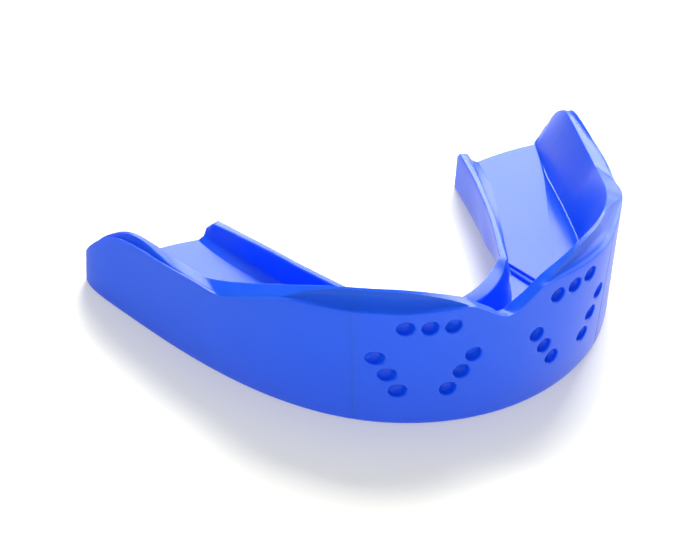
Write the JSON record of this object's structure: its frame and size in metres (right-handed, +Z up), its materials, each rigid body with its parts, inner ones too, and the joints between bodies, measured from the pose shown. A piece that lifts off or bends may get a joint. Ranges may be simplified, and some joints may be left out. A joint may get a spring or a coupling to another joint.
{
  "type": "mouthguard",
  "caption": "Boil-and-bite mouthguard for combat sports: U-shaped upper tray with outer skin, V notch for the lip tie, dimpled front, tooth channel and raised molar pads",
  "frame": {"origin": "middle of the footprint on the flat underside", "axes": "+X to the wearer's left across the arch, -Y to the front of the arch (lip side), +Y along the arms to the rear, +Z up from the biting underside to the gum edge"},
  "size_m": [0.0682, 0.0468, 0.0192],
  "materials": {
    "skin": "satin-gloss blue EVA, slightly translucent",
    "liner": "satin-gloss blue EVA, softer inner layer, slightly translucent",
    "pad": "satin blue EVA bite surface"
  },
  "bodies": {
    "root": {"front_panel": "skin", "right_flank_shell": "skin", "left_flank_shell": "skin", "tray_liner": "liner", "palatal_wall": "liner", "right_bite_pad": "pad", "left_bite_pad": "pad"}
  },
  "joints": []
}
